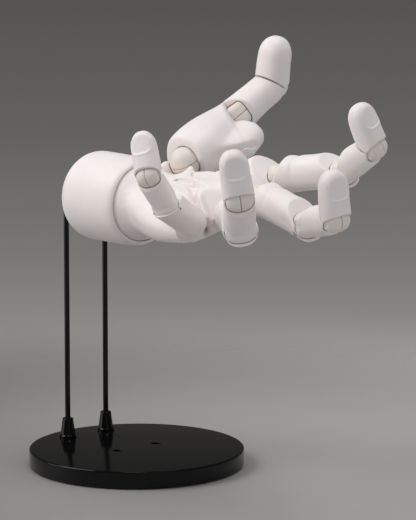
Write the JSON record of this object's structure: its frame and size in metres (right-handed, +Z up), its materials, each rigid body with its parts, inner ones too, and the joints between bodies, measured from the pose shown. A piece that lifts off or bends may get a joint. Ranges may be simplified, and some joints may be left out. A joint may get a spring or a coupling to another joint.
{
  "type": "posable hand model",
  "caption": "Life-size posable left hand for drawing practice, palm up with fingers curled, held level by its wrist on two thin rods over a round base.",
  "frame": {"origin": "centre of the round base's pad, on the surface that it stands on", "axes": "+Z up, +X from the wrist to the fingertips, +Y towards the thumb side"},
  "size_m": [0.2361, 0.1787, 0.2353],
  "materials": {
    "skin": "satin white moulded plastic",
    "knuckle": "satin off-white moulded plastic",
    "black": "gloss black",
    "rubber": "matt black",
    "steel": "plain"
  },
  "bodies": {
    "stand": {"base_disc": "black", "base_pad": "rubber", "rod_left": "black", "ferrule_left": "black", "rod_right": "black", "ferrule_right": "black", "cuff": "skin"},
    "wrist_turn_body": {"wrist_hub": "steel"},
    "wrist_bend_body": {"wrist_cross": "steel"},
    "wrist_sway_body": {"palm": "skin", "palm_pad": "skin"},
    "index_spread_body": {"index_ball_near": "knuckle"},
    "index_knuckle_body": {"index_ball_far": "knuckle"},
    "index_twist_body": {"index_first_bone": "skin", "index_middle_near": "knuckle"},
    "index_middle_body": {"index_middle_far": "knuckle", "index_middle_bone": "skin", "index_end_near": "knuckle"},
    "index_end_body": {"index_end_far": "knuckle", "index_tip": "skin"},
    "middle_spread_body": {"middle_ball_near": "knuckle"},
    "middle_knuckle_body": {"middle_ball_far": "knuckle"},
    "middle_twist_body": {"middle_first_bone": "skin", "middle_middle_near": "knuckle"},
    "middle_middle_body": {"middle_middle_far": "knuckle", "middle_middle_bone": "skin", "middle_end_near": "knuckle"},
    "middle_end_body": {"middle_end_far": "knuckle", "middle_tip": "skin"},
    "ring_spread_body": {"ring_ball_near": "knuckle"},
    "ring_knuckle_body": {"ring_ball_far": "knuckle"},
    "ring_twist_body": {"ring_first_bone": "skin", "ring_middle_near": "knuckle"},
    "ring_middle_body": {"ring_middle_far": "knuckle", "ring_middle_bone": "skin", "ring_end_near": "knuckle"},
    "ring_end_body": {"ring_end_far": "knuckle", "ring_tip": "skin"},
    "little_spread_body": {"little_ball_near": "knuckle"},
    "little_knuckle_body": {"little_ball_far": "knuckle"},
    "little_twist_body": {"little_first_bone": "skin", "little_middle_near": "knuckle"},
    "little_middle_body": {"little_middle_far": "knuckle", "little_middle_bone": "skin", "little_end_near": "knuckle"},
    "little_end_body": {"little_end_far": "knuckle", "little_tip": "skin"},
    "thumb_lift_body": {"thumb_ball_near": "knuckle"},
    "thumb_swing_body": {"thumb_ball_far": "knuckle", "thumb_base": "skin", "thumb_knuckle_near": "knuckle"},
    "thumb_knuckle_body": {"thumb_knuckle_far": "knuckle", "thumb_bone": "skin", "thumb_end_near": "knuckle"},
    "thumb_end_body": {"thumb_end_far": "knuckle", "thumb_tip": "skin"}
  },
  "joints": [
    {"name": "wrist_turn", "type": "hinge", "parent": "stand", "child": "wrist_turn_body", "pos_m": [0, 0, 0.1486], "axis": [1, 0, 0], "range_deg": [-62, 38]},
    {"name": "wrist_bend", "type": "hinge", "parent": "wrist_turn_body", "child": "wrist_bend_body", "pos_m": [0, 0, 0.1486], "axis": [0, -0.9272, -0.3746], "range_deg": [-23, 4]},
    {"name": "wrist_sway", "type": "hinge", "parent": "wrist_bend_body", "child": "wrist_sway_body", "pos_m": [0, 0, 0.1486], "axis": [-0.0872, -0.3732, 0.9237], "range_deg": [-9.6, 0.4]},
    {"name": "index_spread", "type": "hinge", "parent": "wrist_sway_body", "child": "index_spread_body", "pos_m": [0.09165, 0.02455, 0.1702], "axis": [0.0872, 0.3732, -0.9237], "range_deg": [-15, 11]},
    {"name": "index_knuckle", "type": "hinge", "parent": "index_spread_body", "child": "index_knuckle_body", "pos_m": [0.09165, 0.02455, 0.1702], "axis": [0.1833, -0.9174, -0.3533], "range_deg": [-24.3, 74.7]},
    {"name": "index_twist", "type": "hinge", "parent": "index_knuckle_body", "child": "index_twist_body", "pos_m": [0.0913, 0.02632, 0.17088], "axis": [0.9787, 0.1365, 0.1532], "range_deg": [-16, 6]},
    {"name": "index_middle", "type": "hinge", "parent": "index_twist_body", "child": "index_middle_body", "pos_m": [0.13471, 0.03053, 0.177], "axis": [0.1799, -0.9299, -0.3209], "range_deg": [-24, 71]},
    {"name": "index_end", "type": "hinge", "parent": "index_middle_body", "child": "index_end_body", "pos_m": [0.15828, 0.03014, 0.19135], "axis": [0.1799, -0.9299, -0.3209], "range_deg": [-70, 10]},
    {"name": "middle_spread", "type": "hinge", "parent": "wrist_sway_body", "child": "middle_spread_body", "pos_m": [0.0951, 0.00756, 0.16063], "axis": [-0.0872, -0.3732, 0.9237], "range_deg": [-6, 16]},
    {"name": "middle_knuckle", "type": "hinge", "parent": "middle_spread_body", "child": "middle_knuckle_body", "pos_m": [0.0951, 0.00756, 0.16063], "axis": [-0.2139, -0.8985, -0.3832], "range_deg": [-13.5, 85.5]},
    {"name": "middle_twist", "type": "hinge", "parent": "middle_knuckle_body", "child": "middle_twist_body", "pos_m": [0.09552, 0.00934, 0.16139], "axis": [0.9725, -0.1591, -0.1698], "range_deg": [-4.1, 17.9]},
    {"name": "middle_middle", "type": "hinge", "parent": "middle_twist_body", "child": "middle_middle_body", "pos_m": [0.14087, -0.00006, 0.1531], "axis": [-0.1856, -0.9705, -0.1539], "range_deg": [-21, 74]},
    {"name": "middle_end", "type": "hinge", "parent": "middle_middle_body", "child": "middle_end_body", "pos_m": [0.16866, -0.00625, 0.15862], "axis": [-0.1856, -0.9705, -0.1539], "range_deg": [-74, 6]},
    {"name": "ring_spread", "type": "hinge", "parent": "wrist_sway_body", "child": "ring_spread_body", "pos_m": [0.09132, -0.01019, 0.1531], "axis": [-0.0872, -0.3732, 0.9237], "range_deg": [-6.4, 26.6]},
    {"name": "ring_knuckle", "type": "hinge", "parent": "ring_spread_body", "child": "ring_knuckle_body", "pos_m": [0.09132, -0.01019, 0.1531], "axis": [-0.5279, -0.769, -0.3605], "range_deg": [-30.2, 68.8]},
    {"name": "ring_twist", "type": "hinge", "parent": "ring_knuckle_body", "child": "ring_twist_body", "pos_m": [0.09232, -0.00873, 0.15379], "axis": [0.8305, -0.5563, -0.0295], "range_deg": [-6.6, 15.4]},
    {"name": "ring_middle", "type": "hinge", "parent": "ring_twist_body", "child": "ring_middle_body", "pos_m": [0.12698, -0.0342, 0.1522], "axis": [-0.5526, -0.8161, -0.1691], "range_deg": [-43, 52]},
    {"name": "ring_end", "type": "hinge", "parent": "ring_middle_body", "child": "ring_end_body", "pos_m": [0.14265, -0.04858, 0.17041], "axis": [-0.5526, -0.8161, -0.1691], "range_deg": [-42, 38]},
    {"name": "little_spread", "type": "hinge", "parent": "wrist_sway_body", "child": "little_spread_body", "pos_m": [0.08324, -0.02823, 0.1483], "axis": [-0.0872, -0.3732, 0.9237], "range_deg": [-4, 50]},
    {"name": "little_knuckle", "type": "hinge", "parent": "little_spread_body", "child": "little_knuckle_body", "pos_m": [0.08324, -0.02823, 0.1483], "axis": [-0.8298, -0.4859, -0.2746], "range_deg": [-66, 33]},
    {"name": "little_twist", "type": "hinge", "parent": "little_knuckle_body", "child": "little_twist_body", "pos_m": [0.08467, -0.02739, 0.14877], "axis": [0.3514, -0.837, 0.4194], "range_deg": [-18, 4]},
    {"name": "little_middle", "type": "hinge", "parent": "little_twist_body", "child": "little_middle_body", "pos_m": [0.09536, -0.05711, 0.16277], "axis": [-0.8298, -0.4859, -0.2746], "range_deg": [-27, 68]},
    {"name": "little_end", "type": "hinge", "parent": "little_middle_body", "child": "little_end_body", "pos_m": [0.09786, -0.07069, 0.17925], "axis": [-0.8298, -0.4859, -0.2746], "range_deg": [-55, 25]},
    {"name": "thumb_lift", "type": "hinge", "parent": "wrist_sway_body", "child": "thumb_lift_body", "pos_m": [0.01931, 0.01946, 0.17073], "axis": [0.9958, -0.0067, 0.0912], "range_deg": [-18.6, 21.4]},
    {"name": "thumb_swing", "type": "hinge", "parent": "thumb_lift_body", "child": "thumb_swing_body", "pos_m": [0.01931, 0.01946, 0.17073], "axis": [-0.0846, -0.4464, 0.8908], "range_deg": [-29.4, 5.6]},
    {"name": "thumb_knuckle", "type": "hinge", "parent": "thumb_swing_body", "child": "thumb_knuckle_body", "pos_m": [0.0115, 0.06209, 0.19136], "axis": [0.3938, 0.4577, -0.7972], "range_deg": [-11.7, 54.3]},
    {"name": "thumb_end", "type": "hinge", "parent": "thumb_knuckle_body", "child": "thumb_end_body", "pos_m": [0.00786, 0.09303, 0.20732], "axis": [0.9527, 0.2201, -0.2093], "range_deg": [-74.7, 1.3]}
  ]
}
